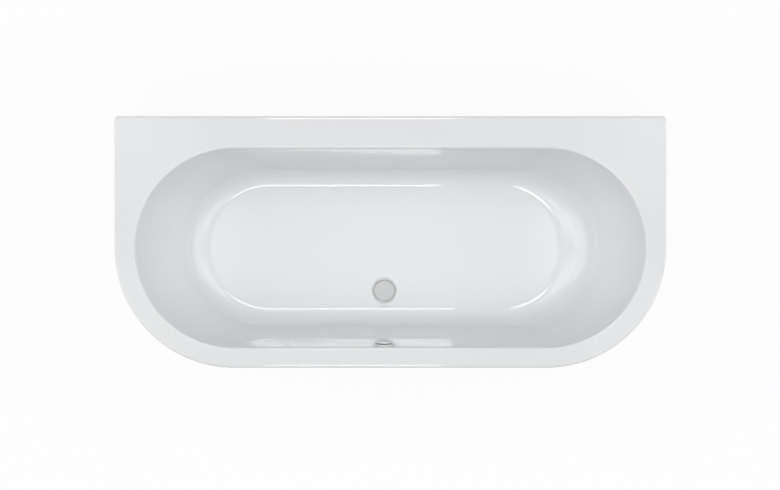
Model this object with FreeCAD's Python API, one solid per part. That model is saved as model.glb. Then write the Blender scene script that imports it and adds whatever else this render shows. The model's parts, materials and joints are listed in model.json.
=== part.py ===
"""A D-shaped bath that stands with its straight side against a wall.

Millimetres, +Z up. X runs along the bath, the wall is at +Y, and the curved front faces -Y. The
origin is on the floor, below the middle of the rim.
"""

import FreeCAD, Part
import math
import os

# Rim and basin
bath_length = 1800.0
bath_depth = 820.0
rim_height = 600.0
rim_width = 66.0
deck_width = 104.0
wall_corner_radius = 12.0
least_corner_radius = 1.0
basin_depth = 430.0
shell_thickness = 8.0
lip_height = 38.0
lip_edge_radius = 6.0
rim_roll_radius = 8.0
side_lean = 9.7
backrest_lean = 22.5
side_fillet = 64.0
left_fillet = 90.0
right_fillet = 150.0

# Drain in the basin floor and overflow in the front wall
drain_from_front = 53.5
drain_hole_radius = 26.0
recess_radius = 46.0
recess_floor_radius = 38.0
recess_depth = 5.0
overflow_drop = 55.0
overflow_hole_radius = 26.0

# Reinforcing board and rim battens
board_length = 1000.0
board_thickness = 18.0
board_margin = 28.0
board_corner_radius = 60.0
board_notch_gap = 8.0
batten_edge_inset = 22.0
front_batten_width = 28.0
front_batten_length = 400.0
front_batten_gap = 24.0
rear_batten_width = 60.0
rear_batten_length = 1700.0
rear_batten_inset = 11.0
end_batten_length = 320.0

# Legs
bar_spacing = 900.0
bar_width = 40.0
bar_height = 30.0
bar_gauge = 2.0
bar_overhang = 36.0
foot_outset = 82.0
rod_radius = 6.0
foot_pad_radius = 25.0
foot_pad_height = 22.0
foot_pad_floor = 7.0
foot_pad_edge = 6.0
foot_pad_wall = 7.0
foot_pad_taper = 2.0
foot_pad_shoulder = 10.0
foot_raise = 10.0
nut_across_flats = 19.0
nut_height = 9.0
centre_foot_x = -150.0
centre_foot_y = 40.0
centre_plate_side = 90.0
centre_plate_gauge = 3.0
centre_sleeve_radius = 13.0
centre_sleeve_length = 60.0

# Front panel with its clips and stays
panel_thickness = 4.0
panel_lip_gap = 3.0
panel_floor_gap = 4.0
panel_top_gap = 4.0
panel_wall_gap = 2.0
panel_return = 25.0
clip_length = 40.0
clip_height = 18.0
clip_inner_jaw = 5.0
clip_outer_jaw = 2.3
clip_spacing = 340.0
stay_width = 30.0
stay_gauge = 3.0
stay_flange = 40.0
stay_overlap = 22.0

# Wall brackets
wall_bracket_spacing = 1100.0
wall_bracket_width = 90.0
wall_bracket_gauge = 2.5
wall_bracket_leg = 60.0
wall_bracket_drop = 72.0
wall_slot_spacing = 44.0
wall_slot_length = 20.0
wall_slot_width = 7.0

# Wood screws
screw_radius = 2.0
screw_head_radius = 4.2
screw_head_height = 2.4
screw_length = 14.0

# Pop-up waste
plug_radius = 33.5
plug_thickness = 3.8
plug_crown = 0.6
plug_lift = 12.0
plug_gap = 0.7
plug_neck_radius = 15.5
plug_neck_length = 11.0
plug_seal_height = 4.0
plug_stem_radius = 5.0
plug_groove_depth = 2.0
adjuster_radius = 2.5
adjuster_length = 10.0
flange_radius = 36.0
flange_thickness = 2.5
flange_edge = 1.0
flange_gasket = 2.0
throat_radius = 21.0
throat_wall = 3.0
throat_length = 43.0
hub_radius = 9.0
hub_height = 7.0
hub_drop = 21.0
spoke_width = 4.0
waste_gasket = 3.0
waste_flange_thickness = 6.0
waste_wall = 4.0
waste_chamber_radius = 28.0
waste_chamber_height = 26.0
waste_neck_height = 28.0
waste_funnel_height = 8.0
waste_outlet_length = 10.0
lever_reach = 17.0
lever_tip_radius = 3.0
lever_hub_radius = 5.0
lever_width = 8.0
lever_pin_radius = 2.5
lever_pin_stand_out = 11.0
crank_length = 12.0
crank_thickness = 5.0
crank_eye_radius = 1.6
crank_eye_wall = 2.4
lever_rise = 1.0
gland_radius = 4.5
gland_bore_radius = 1.6
gland_length = 14.0

# Trap
pipe_radius = 20.0
pipe_wall = 2.5
trap_radius = 40.0
trap_inlet_drop = 12.0
trap_outlet_rise = 10.0
elbow_radius = 24.0
elbow_rise = 6.0
elbow_run = 18.0
socket_depth = 36.0
socket_wall = 3.8
union_length = 20.0
union_wall = 7.0
flute_radius = 2.0
flute_count = 12
socket_nut_front = 6.0
socket_nut_wall = 4.0
socket_nut_gap = 1.0
cleaning_cap_radius = 13.0
cleaning_cap_height = 7.0
cleaning_cap_overhang = 2.0
cleaning_boss_height = 1.0
cleaning_slot_width = 4.0

# Overflow with its rotary control
rosette_radius = 31.0
rosette_thickness = 3.0
rosette_edge_radius = 2.0
rosette_bore_radius = 22.0
rosette_hub_radius = 8.0
rosette_screw_circle = 15.0
rosette_screw_grip = 8.0
rosette_screw_head = 3.6
rosette_boss_side = 7.0
knob_radius = 26.0
knob_stand_off = 3.0
knob_thickness = 5.5
knob_edge_radius = 2.5
knob_dish = 1.2
knob_chamfer = 1.5
shaft_radius = 4.0
cam_radius = 10.5
cam_thickness = 6.0
cam_pin_radius = 2.5
cam_pin_circle = 7.0
cam_gap = 3.0
overflow_gasket = 3.0
overflow_flange_radius = 37.0
overflow_flange_thickness = 5.0
overflow_chamber_radius = 31.0
overflow_chamber_wall = 4.0
overflow_chamber_depth = 22.0
overflow_pipe_radius = 12.8
overflow_pipe_wall = 2.3
overflow_bend_radius = 60.0
overflow_socket_wall = 3.0
overflow_socket_length = 34.0
overflow_insert = 16.0
overflow_nut_front = 4.0
overflow_nut_wall = 4.5
overflow_nut_overlap = 2.0

# Clearances
slide_clearance = 0.1
seat_clearance = 0.15
seal_clearance = 0.2
lever_clearance = 0.4
rod_end_clearance = 4.0
rod_wall_clearance = 12.0

# Places worked out from the sizes above
floor_z = rim_height - basin_depth
under_rim_z = rim_height - shell_thickness
lip_bottom_z = rim_height - lip_height
opening_radius = (bath_depth - rim_width - deck_width) / 2
basin_y = -bath_depth / 2 + rim_width + opening_radius
opening_end = bath_length / 2 - rim_width


def radians(degrees):
    return math.radians(degrees)


def wall_run(height, fillet, lean):
    """How far a wall has moved out from the flat floor's edge at a height above that floor."""
    tangent = fillet * (1 - math.sin(radians(lean)))
    if height <= tangent:
        return math.sqrt(max(0.0, fillet**2 - (fillet - height) ** 2))
    return fillet * math.cos(radians(lean)) + (height - tangent) * math.tan(radians(lean))


floor_radius = opening_radius - wall_run(basin_depth, side_fillet, side_lean)
floor_left = -opening_end + wall_run(basin_depth, left_fillet, backrest_lean)
floor_right = opening_end - wall_run(basin_depth, right_fillet, backrest_lean)
floor_middle = (floor_left + floor_right) / 2
floor_bottom_z = floor_z - shell_thickness
board_bottom_z = floor_bottom_z - board_thickness
bar_bottom_z = board_bottom_z - bar_height
drain_x = floor_middle
drain_y = basin_y - floor_radius + drain_from_front
recess_z = floor_z - recess_depth
boss_z = recess_z - shell_thickness
foot_reach = floor_radius + foot_outset
bar_x = [floor_middle - bar_spacing / 2, floor_middle + bar_spacing / 2]
panel_inset = shell_thickness + panel_lip_gap
panel_inner_radius = opening_radius + rim_width - panel_inset - panel_thickness


def vector(x, y, z):
    return FreeCAD.Vector(x, y, z)


def line(start, end):
    return Part.LineSegment(start, end).toShape()


def arc(start, middle, end):
    return Part.Arc(start, middle, end).toShape()


def box(x0, y0, z0, x1, y1, z1):
    return Part.makeBox(x1 - x0, y1 - y0, z1 - z0, vector(x0, y0, z0))


def cylinder(radius, start, end):
    direction = end - start
    return Part.makeCylinder(radius, direction.Length, start, direction)


def tube(outer, inner, start, end):
    return cylinder(outer, start, end).cut(cylinder(inner, start, end))


def revolve(profile):
    """A solid of revolution about Z from (radius, height) corners. A third value makes the corner the
    middle of an arc between its neighbours."""
    edges = []
    count = len(profile)
    for index, corner in enumerate(profile):
        following = profile[(index + 1) % count]
        if len(corner) == 3:
            continue
        start = vector(corner[0], 0, corner[1])
        if len(following) == 3:
            after = profile[(index + 2) % count]
            middle = vector(following[0], 0, following[1])
            edges.append(arc(start, middle, vector(after[0], 0, after[1])))
        else:
            edges.append(line(start, vector(following[0], 0, following[1])))
    face = Part.Face(Part.Wire(edges))
    return face.revolve(vector(0, 0, 0), vector(0, 0, 1), 360)


def crown_middle(radius, height):
    """The middle of the arc from a circle's edge up to its centre, as a radius and a height."""
    sphere = (radius**2 + height**2) / (2 * height)
    half_angle = math.asin(radius / sphere) / 2
    return sphere * math.sin(half_angle), height - sphere * (1 - math.cos(half_angle))


def rounded_corner(radius, angle):
    """The point at an angle on a corner's arc, seen from the arc's own centre."""
    return radius * math.cos(radians(angle)), radius * math.sin(radians(angle))


def rounded_rectangle(x0, y0, x1, y1, front_radius, rear_radius, z):
    """A closed wire with one radius at its two -Y corners and another at its two +Y corners."""
    corners = [
        (x1, y0, front_radius, -1, 1, 270),
        (x1, y1, rear_radius, -1, -1, 0),
        (x0, y1, rear_radius, 1, -1, 90),
        (x0, y0, front_radius, 1, 1, 180),
    ]
    points = []
    for x, y, radius, to_x, to_y, angle in corners:
        centre_x = x + to_x * radius
        centre_y = y + to_y * radius
        for turn in (0, 45, 90):
            step_x, step_y = rounded_corner(radius, angle + turn)
            points.append(vector(centre_x + step_x, centre_y + step_y, z))
    edges = []
    for first in range(0, len(points), 3):
        start, middle, end = points[first : first + 3]
        edges.append(arc(start, middle, end))
        edges.append(line(end, points[(first + 3) % len(points)]))
    return Part.Wire(edges)


def prism(wire, height):
    return Part.Face(wire).extrude(vector(0, 0, height))


def bath_outline(inset, z):
    """The bath's D outline, moved inwards by an inset."""
    half_length = bath_length / 2 - inset
    half_depth = bath_depth / 2 - inset
    front_radius = opening_radius + rim_width - inset
    rear_radius = max(wall_corner_radius - inset, least_corner_radius)
    return rounded_rectangle(
        -half_length, -half_depth, half_length, half_depth, front_radius, rear_radius, z
    )


def stadium(left_centre, right_centre, radius, z):
    """A slot-shaped wire of two straight sides and four quarter arcs."""
    half = radius * math.sqrt(0.5)
    low, high = basin_y - radius, basin_y + radius
    right_end = vector(right_centre + radius, basin_y, z)
    left_end = vector(left_centre - radius, basin_y, z)
    front_right = vector(right_centre, low, z)
    rear_right = vector(right_centre, high, z)
    rear_left = vector(left_centre, high, z)
    front_left = vector(left_centre, low, z)
    return Part.Wire(
        [
            line(front_left, front_right),
            arc(front_right, vector(right_centre + half, basin_y - half, z), right_end),
            arc(right_end, vector(right_centre + half, basin_y + half, z), rear_right),
            line(rear_right, rear_left),
            arc(rear_left, vector(left_centre - half, basin_y + half, z), left_end),
            arc(left_end, vector(left_centre - half, basin_y - half, z), front_left),
        ]
    )


def basin_section(height, skin):
    """The basin's level outline at a height above its floor, grown by a skin measured square to it."""
    rise = height + skin
    radius = floor_radius + wall_run(rise, side_fillet + skin, side_lean)
    left_end = floor_left - wall_run(rise, left_fillet + skin, backrest_lean)
    right_end = floor_right + wall_run(rise, right_fillet + skin, backrest_lean)
    return stadium(left_end + radius, right_end - radius, radius, floor_z + height)


def basin_solid(skin, top):
    """The basin's inside, or its outside with a skin, from its floor to a height above that floor."""
    fillet = max(side_fillet * (1 - math.sin(radians(side_lean))),
                 left_fillet * (1 - math.sin(radians(backrest_lean))),
                 right_fillet * (1 - math.sin(radians(backrest_lean))))
    steps = 9
    rounded = []
    for step in range(steps + 1):
        rise = (fillet + skin) * (step / steps) ** 2
        rounded.append(basin_section(rise - skin, skin))
    lower = Part.makeLoft(rounded, True, False)
    upper = Part.makeLoft([basin_section(fillet, skin), basin_section(top, skin)], True, True)
    return lower.fuse(upper)


def at_drain(shape):
    return shape.translate(vector(drain_x, drain_y, 0))


def overflow_placement():
    """Local Z points out of the front wall into the basin, and local Y points up along the wall."""
    lean = radians(side_lean)
    y = basin_y - opening_radius + overflow_drop * math.tan(lean)
    rows = FreeCAD.Matrix(
        -1, 0, 0, drain_x,
        0, -math.sin(lean), math.cos(lean), y,
        0, math.cos(lean), math.sin(lean), rim_height - overflow_drop,
        0, 0, 0, 1,
    )
    return FreeCAD.Placement(rows)


def at_overflow(shape):
    placed = shape.copy()
    placed.Placement = overflow_placement().multiply(placed.Placement)
    return placed


def opening_edges(shape):
    """The edges where the flat rim meets the basin's wall."""
    found = []
    straight_half = opening_end - opening_radius
    for edge in shape.Edges:
        middle = edge.valueAt((edge.FirstParameter + edge.LastParameter) / 2)
        past_end = max(abs(middle.x) - straight_half, 0.0)
        from_spine = math.hypot(past_end, middle.y - basin_y)
        on_top = edge.BoundBox.ZLength < 0.01 and abs(middle.z - rim_height) < 0.01
        if on_top and abs(from_spine - opening_radius) < 1.0:
            found.append(edge)
    return found


def make_tub_shell():
    """One skin: the flat rim, its turned-down lip, the basin, the drain's recess and both holes."""
    slab = prism(bath_outline(0, lip_bottom_z), lip_height)
    top_edges = [e for e in slab.Edges if e.BoundBox.ZMin > rim_height - 0.01]
    slab = slab.makeFillet(lip_edge_radius, top_edges)
    slab = slab.cut(prism(bath_outline(shell_thickness, lip_bottom_z), lip_height - shell_thickness))
    boss = cylinder(recess_radius + shell_thickness, vector(0, 0, boss_z), vector(0, 0, floor_bottom_z))
    body = slab.fuse([basin_solid(shell_thickness, basin_depth - rim_roll_radius), at_drain(boss)])
    body = body.cut(basin_solid(0.0, basin_depth + shell_thickness)).removeSplitter()
    body = body.makeFillet(rim_roll_radius, opening_edges(body))
    recess = Part.makeCone(recess_floor_radius, recess_radius, recess_depth, vector(0, 0, recess_z))
    hole = cylinder(drain_hole_radius, vector(0, 0, boss_z), vector(0, 0, floor_z))
    through_wall = cylinder(
        overflow_hole_radius, vector(0, 0, -2 * shell_thickness), vector(0, 0, shell_thickness)
    )
    return body.cut([at_drain(recess), at_drain(hole), at_overflow(through_wall)])


def board_screws():
    """Places of the screws that go up into the board: x, y and the head's height."""
    places = []
    for x in bar_x:
        for share in (-0.75, -0.25, 0.25, 0.75):
            y = basin_y + share * (floor_radius - board_margin)
            places.append((x, y, board_bottom_z - bar_gauge))
    reach = centre_plate_side / 2 - 3 * screw_head_radius
    for step_x in (-reach, reach):
        for step_y in (-reach, reach):
            x = floor_middle + centre_foot_x + step_x
            y = basin_y + centre_foot_y + step_y
            places.append((x, y, board_bottom_z - centre_plate_gauge))
    return places


def screw_up(x, y, z, length):
    """A wood screw that points up, with its head below a seat at height z."""
    head = Part.makeCone(
        screw_head_radius - screw_head_height / 2, screw_head_radius, screw_head_height,
        vector(x, y, z - screw_head_height),
    )
    return head.fuse(cylinder(screw_radius, vector(x, y, z), vector(x, y, z + length)))


def screw_hole(x, y, z, length):
    radius = screw_radius + slide_clearance
    return cylinder(radius, vector(x, y, z), vector(x, y, z + length + slide_clearance))


def make_base_board():
    half_width = floor_radius - board_margin
    outline = rounded_rectangle(
        floor_middle - board_length / 2, basin_y - half_width,
        floor_middle + board_length / 2, basin_y + half_width,
        board_corner_radius, board_corner_radius, board_bottom_z,
    )
    board = prism(outline, board_thickness)
    notch_radius = recess_radius + shell_thickness + board_notch_gap
    notch = cylinder(notch_radius, vector(0, 0, board_bottom_z), vector(0, 0, floor_bottom_z))
    notch = notch.fuse(
        box(-notch_radius, -half_width, board_bottom_z, notch_radius, 0, floor_bottom_z)
    )
    holes = [screw_hole(x, y, z, screw_length) for x, y, z in board_screws()]
    return board.cut([at_drain(notch)] + holes)


def make_board_screws():
    return Part.makeCompound([screw_up(x, y, z, screw_length) for x, y, z in board_screws()])


def bracket_screws():
    """Places of the screws that hold the wall brackets to the rear batten."""
    y = bath_depth / 2 - shell_thickness - rear_batten_inset - rear_batten_width / 2
    places = []
    for side in (-1, 1):
        for step in (-1, 1):
            x = side * wall_bracket_spacing / 2 + step * wall_bracket_width / 4
            places.append((x, y, lip_bottom_z - wall_bracket_gauge))
    return places


def make_rear_batten():
    outer = bath_depth / 2 - shell_thickness - rear_batten_inset
    batten = box(
        -rear_batten_length / 2, outer - rear_batten_width, lip_bottom_z,
        rear_batten_length / 2, outer, under_rim_z,
    )
    return batten.cut([screw_hole(x, y, z, screw_length) for x, y, z in bracket_screws()])


def make_front_batten(side):
    """One of the two front battens, which leave room between them for the overflow."""
    outer = -bath_depth / 2 + batten_edge_inset
    near = drain_x + side * (overflow_flange_radius + front_batten_gap)
    x0, x1 = sorted((near, near + side * front_batten_length))
    return box(x0, outer, lip_bottom_z, x1, outer + front_batten_width, under_rim_z)


def make_end_batten(side):
    outer = bath_length / 2 - batten_edge_inset
    inner = outer - front_batten_width
    x0, x1 = sorted((side * inner, side * outer))
    return box(x0, basin_y, lip_bottom_z, x1, basin_y + end_batten_length, under_rim_z)


def foot_places():
    """Names and places of the feet under the two bars."""
    places = []
    for end, x in zip(("left", "right"), bar_x):
        places.append((f"{end}_front", x, basin_y - foot_reach))
        places.append((f"{end}_rear", x, basin_y + foot_reach))
    return places


def make_leg_bar(x):
    """A steel channel, open below, across the bath under the board."""
    y0 = basin_y - foot_reach - bar_overhang
    y1 = basin_y + foot_reach + bar_overhang
    half = bar_width / 2
    bar = box(x - half, y0, bar_bottom_z, x + half, y1, board_bottom_z)
    inner = half - bar_gauge
    bar = bar.cut(box(x - inner, y0, bar_bottom_z, x + inner, y1, board_bottom_z - bar_gauge))
    holes = []
    for _, foot_x, y in foot_places():
        if foot_x == x:
            top = vector(x, y, board_bottom_z)
            holes.append(cylinder(rod_radius + 2 * slide_clearance, top - vector(0, 0, bar_gauge), top))
    for screw_x, y, z in board_screws():
        if screw_x == x:
            holes.append(screw_hole(x, y, z, bar_gauge))
    stay_y = y0 + stay_overlap / 2
    holes.append(screw_hole(x, stay_y, board_bottom_z - bar_gauge, bar_gauge))
    return bar.cut(holes)


def hexagon_nut(x, y, z):
    corner = nut_across_flats / 2 / math.cos(radians(30))
    points = []
    for step in range(7):
        angle = radians(60 * step)
        points.append(vector(x + corner * math.cos(angle), y + corner * math.sin(angle), z))
    nut = prism(Part.makePolygon(points), nut_height)
    bore = cylinder(rod_radius + slide_clearance, vector(x, y, z), vector(x, y, z + nut_height))
    return nut.cut(bore)


def make_foot_nuts():
    nuts = []
    for _, x, y in foot_places():
        nuts.append(hexagon_nut(x, y, board_bottom_z))
        nuts.append(hexagon_nut(x, y, board_bottom_z - bar_gauge - nut_height))
    return Part.makeCompound(nuts)


def tub_underside(run):
    """Height of the tub's underside at a run out from the flat floor's edge, on a long side."""
    fillet = side_fillet + shell_thickness
    lean = radians(side_lean)
    past = run - fillet * math.cos(lean)
    if past > 0:
        return floor_bottom_z + fillet * (1 - math.sin(lean)) + past / math.tan(lean)
    return floor_bottom_z + fillet - math.sqrt(fillet**2 - run**2)


def make_foot_rod(x, y, top):
    return cylinder(rod_radius, vector(x, y, foot_pad_floor), vector(x, y, top))


def make_foot_pad(x, y):
    socket = rod_radius + seat_clearance
    neck = rod_radius + foot_pad_wall
    pad = revolve(
        [
            (0, 0),
            (foot_pad_radius, 0),
            (foot_pad_radius, foot_pad_edge),
            (neck + foot_pad_taper, foot_pad_shoulder),
            (neck, foot_pad_height),
            (socket, foot_pad_height),
            (socket, foot_pad_floor),
            (0, foot_pad_floor),
        ]
    )
    return pad.translate(vector(x, y, 0))


def make_centre_foot_plate():
    """A plate under the board with a sleeve that the middle foot's rod slides in."""
    half = centre_plate_side / 2
    x = floor_middle + centre_foot_x
    y = basin_y + centre_foot_y
    seat = board_bottom_z - centre_plate_gauge
    plate = box(x - half, y - half, seat, x + half, y + half, board_bottom_z)
    low, high = vector(x, y, seat - centre_sleeve_length), vector(x, y, seat)
    plate = plate.fuse(cylinder(centre_sleeve_radius, low, high))
    plate = plate.cut(cylinder(rod_radius + slide_clearance, low, high))
    holes = []
    for screw_x, screw_y, z in board_screws():
        if z == seat:
            holes.append(screw_hole(screw_x, screw_y, z, centre_plate_gauge))
    return plate.cut(holes)


def make_front_panel():
    """One curved sheet round both ends and the front, with a return and a notch at each wall end."""
    low = panel_floor_gap
    height = under_rim_z - panel_top_gap - low
    sheet = prism(bath_outline(panel_inset, low), height)
    inner = panel_inset + panel_thickness
    sheet = sheet.cut(prism(bath_outline(inner, low), height))
    wall_end = bath_depth / 2 - panel_wall_gap
    half = bath_length / 2
    cut_y = wall_end - panel_thickness - wall_corner_radius
    sheet = sheet.cut(box(-half, cut_y, 0, half, bath_depth, rim_height))
    for side in (-1, 1):
        outer = side * (half - panel_inset)
        x0, x1 = sorted((outer, outer - side * panel_thickness))
        sheet = sheet.fuse(box(x0, cut_y, low, x1, wall_end, low + height))
        x0, x1 = sorted((outer, outer - side * panel_return))
        sheet = sheet.fuse(box(x0, wall_end - panel_thickness, low, x1, wall_end, low + height))
    notch_y = bath_depth / 2 - shell_thickness - panel_lip_gap
    notch_z = lip_bottom_z - panel_lip_gap
    sheet = sheet.cut(box(-half, notch_y, notch_z, half, bath_depth, rim_height))
    return sheet.removeSplitter()


def panel_clip():
    """A clip along X whose slot takes the panel's top edge. The rim's outer edge is at y = 0."""
    outer = panel_inset - seat_clearance - clip_outer_jaw
    slot = panel_inset - seat_clearance
    slot_end = panel_inset + panel_thickness + seat_clearance
    inner = slot_end + clip_inner_jaw
    low = under_rim_z - clip_height
    half = clip_length / 2
    block = box(-half, outer, low, half, inner, under_rim_z)
    top = under_rim_z - panel_top_gap + seat_clearance
    return block.cut(box(-half, slot, low, half, slot_end, top))


def make_panel_clips():
    """Clips along the straight front, and one at each end of the bath."""
    clips = []
    for step in (-1, 0, 1):
        clips.append(panel_clip().translate(vector(step * clip_spacing, -bath_depth / 2, 0)))
    middle_y = basin_y + end_batten_length / 2
    for side, turn in ((-1, -90), (1, 90)):
        clip = panel_clip().rotate(vector(0, 0, 0), vector(0, 0, 1), turn)
        clips.append(clip.translate(vector(side * bath_length / 2, middle_y, 0)))
    return Part.makeCompound(clips)


def panel_back(x):
    """Y of the front panel's back at a distance from the bath's middle, on its straight or its curve."""
    beyond = max(0.0, x - opening_end + opening_radius)
    return basin_y - math.sqrt(panel_inner_radius**2 - beyond**2)


def make_panel_stay(x):
    """A flat bar from the front end of a leg bar to the back of the panel, turned up against it."""
    bar_end = basin_y - foot_reach - bar_overhang
    half = stay_width / 2
    low, high = board_bottom_z, board_bottom_z + stay_gauge
    face_y = panel_back(abs(x) + half) + seat_clearance
    stay = box(x - half, face_y, low, x + half, bar_end + stay_overlap, high)
    stay = stay.fuse(box(x - half, face_y, low, x + half, face_y + stay_gauge, low + stay_flange))
    return stay.cut(screw_hole(x, bar_end + stay_overlap / 2, low, stay_gauge)).removeSplitter()


def make_stay_screws():
    screws = []
    y = basin_y - foot_reach - bar_overhang + stay_overlap / 2
    for x in bar_x:
        screws.append(screw_up(x, y, board_bottom_z - bar_gauge, bar_gauge + stay_gauge))
    return Part.makeCompound(screws)


def make_wall_bracket(side):
    """An angle under the rear batten, with two slots for wall screws."""
    x = side * wall_bracket_spacing / 2
    half = wall_bracket_width / 2
    wall = bath_depth / 2
    low = lip_bottom_z - wall_bracket_gauge
    bracket = box(x - half, wall - wall_bracket_leg, low, x + half, wall, lip_bottom_z)
    bottom = lip_bottom_z - wall_bracket_drop
    bracket = bracket.fuse(
        box(x - half, wall - wall_bracket_gauge, bottom, x + half, wall, lip_bottom_z)
    )
    slot_z = lip_bottom_z - wall_bracket_drop / 2
    radius = wall_slot_width / 2
    reach = wall_slot_length / 2 - radius
    cuts = []
    for step in (-0.5, 0.5):
        slot_x = x + step * wall_slot_spacing
        for end in (-reach, reach):
            start = vector(slot_x + end, wall - wall_bracket_gauge, slot_z)
            cuts.append(cylinder(radius, start, start + vector(0, wall_bracket_gauge, 0)))
        cuts.append(
            box(slot_x - reach, wall - wall_bracket_gauge, slot_z - radius,
                slot_x + reach, wall, slot_z + radius)
        )
    for screw_x, screw_y, z in bracket_screws():
        if abs(screw_x - x) < half:
            cuts.append(screw_hole(screw_x, screw_y, z, wall_bracket_gauge))
    for cut in cuts:
        bracket = bracket.cut(cut)
    return bracket.removeSplitter()


def make_bracket_screws():
    return Part.makeCompound([screw_up(x, y, z, screw_length) for x, y, z in bracket_screws()])


# Heights in the pop-up waste, from the recess downwards
flange_z = recess_z + flange_gasket
flange_top_z = flange_z + flange_thickness
plug_z = flange_top_z + plug_gap
throat_end_z = flange_top_z - throat_length
hub_top_z = flange_top_z - hub_drop
waste_top_z = boss_z - waste_gasket
waste_neck_z = waste_top_z - waste_neck_height
chamber_end_z = waste_neck_z - waste_chamber_height
chamber_middle_z = (waste_neck_z + chamber_end_z) / 2
funnel_end_z = chamber_end_z - waste_funnel_height
waste_end_z = funnel_end_z - waste_outlet_length
lever_z = chamber_middle_z + lever_rise
lever_swing = math.degrees(math.asin(plug_lift / 2 / lever_reach))
stem_end_z = lever_z - plug_lift / 2 + lever_tip_radius + lever_clearance
throat_outer = throat_radius + throat_wall
waste_outer = waste_chamber_radius + waste_wall
waste_bore = pipe_radius - pipe_wall


def make_drain_plug():
    """The plug's cover disc with a rolled edge, and the neck below it that carries the seal."""
    top = plug_z + plug_thickness
    edge = plug_thickness / 2
    neck_end = plug_z - plug_neck_length
    groove = plug_z - plug_neck_length / 2 + plug_seal_height / 2
    crown_radius, crown_height = crown_middle(plug_radius - edge, plug_crown)
    profile = [
        (0, neck_end),
        (plug_neck_radius, neck_end),
        (plug_neck_radius, groove - plug_seal_height),
        (plug_neck_radius - plug_groove_depth, groove - plug_seal_height),
        (plug_neck_radius - plug_groove_depth, groove),
        (plug_neck_radius, groove),
        (plug_neck_radius, plug_z),
        (plug_radius - edge, plug_z),
        (plug_radius, plug_z + edge, "arc"),
        (plug_radius - edge, top),
        (crown_radius, top + crown_height, "arc"),
        (0, top + plug_crown),
    ]
    plug = revolve(profile)
    stem_hole = cylinder(
        plug_stem_radius, vector(0, 0, neck_end), vector(0, 0, neck_end + plug_neck_length / 2)
    )
    return at_drain(plug.cut(stem_hole))


def make_plug_stem():
    """The plug's rod, with a round-ended adjusting screw below it that the lever pushes up."""
    top = plug_z - plug_neck_length / 2
    shoulder = stem_end_z + adjuster_length
    stem = cylinder(plug_stem_radius, vector(0, 0, shoulder), vector(0, 0, top))
    ball = vector(0, 0, stem_end_z + adjuster_radius)
    adjuster = cylinder(adjuster_radius, ball, vector(0, 0, shoulder))
    tip = Part.makeSphere(adjuster_radius, ball)
    return at_drain(stem.fuse([adjuster, tip]).removeSplitter())


def make_plug_seal():
    groove = plug_z - plug_neck_length / 2 + plug_seal_height / 2
    inner = plug_neck_radius - plug_groove_depth
    outer = throat_radius - seal_clearance
    low = groove - plug_seal_height
    seal = revolve(
        [
            (inner, low),
            (plug_neck_radius, low),
            (outer, low + plug_seal_height / 2, "arc"),
            (plug_neck_radius, groove),
            (inner, groove),
        ]
    )
    return at_drain(seal)


def make_drain_flange():
    """The metal throat: a flat ring in the recess, a threaded tube and a spider that guides the stem."""
    flange = revolve(
        [
            (throat_radius, throat_end_z),
            (throat_outer, throat_end_z),
            (throat_outer, flange_z),
            (flange_radius, flange_z),
            (flange_radius, flange_top_z - flange_edge),
            (flange_radius - flange_edge, flange_top_z),
            (throat_radius + flange_edge, flange_top_z),
            (throat_radius, flange_top_z - flange_edge),
        ]
    )
    low, high = vector(0, 0, hub_top_z - hub_height), vector(0, 0, hub_top_z)
    spider = cylinder(hub_radius, low, high)
    for angle in (90, 210, 330):
        spoke = box(0, -spoke_width / 2, low.z, throat_radius + throat_wall / 2, spoke_width / 2, high.z)
        spider = spider.fuse(spoke.rotate(vector(0, 0, 0), vector(0, 0, 1), angle))
    flange = flange.fuse(spider).cut(cylinder(plug_stem_radius + slide_clearance, low, high))
    return at_drain(flange.removeSplitter())


def make_flange_gasket():
    start, end = vector(0, 0, recess_z), vector(0, 0, flange_z)
    return at_drain(tube(flange_radius - flange_edge, drain_hole_radius, start, end))


def make_waste_gasket():
    start, end = vector(0, 0, waste_top_z), vector(0, 0, boss_z)
    return at_drain(tube(flange_radius, drain_hole_radius, start, end))


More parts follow.
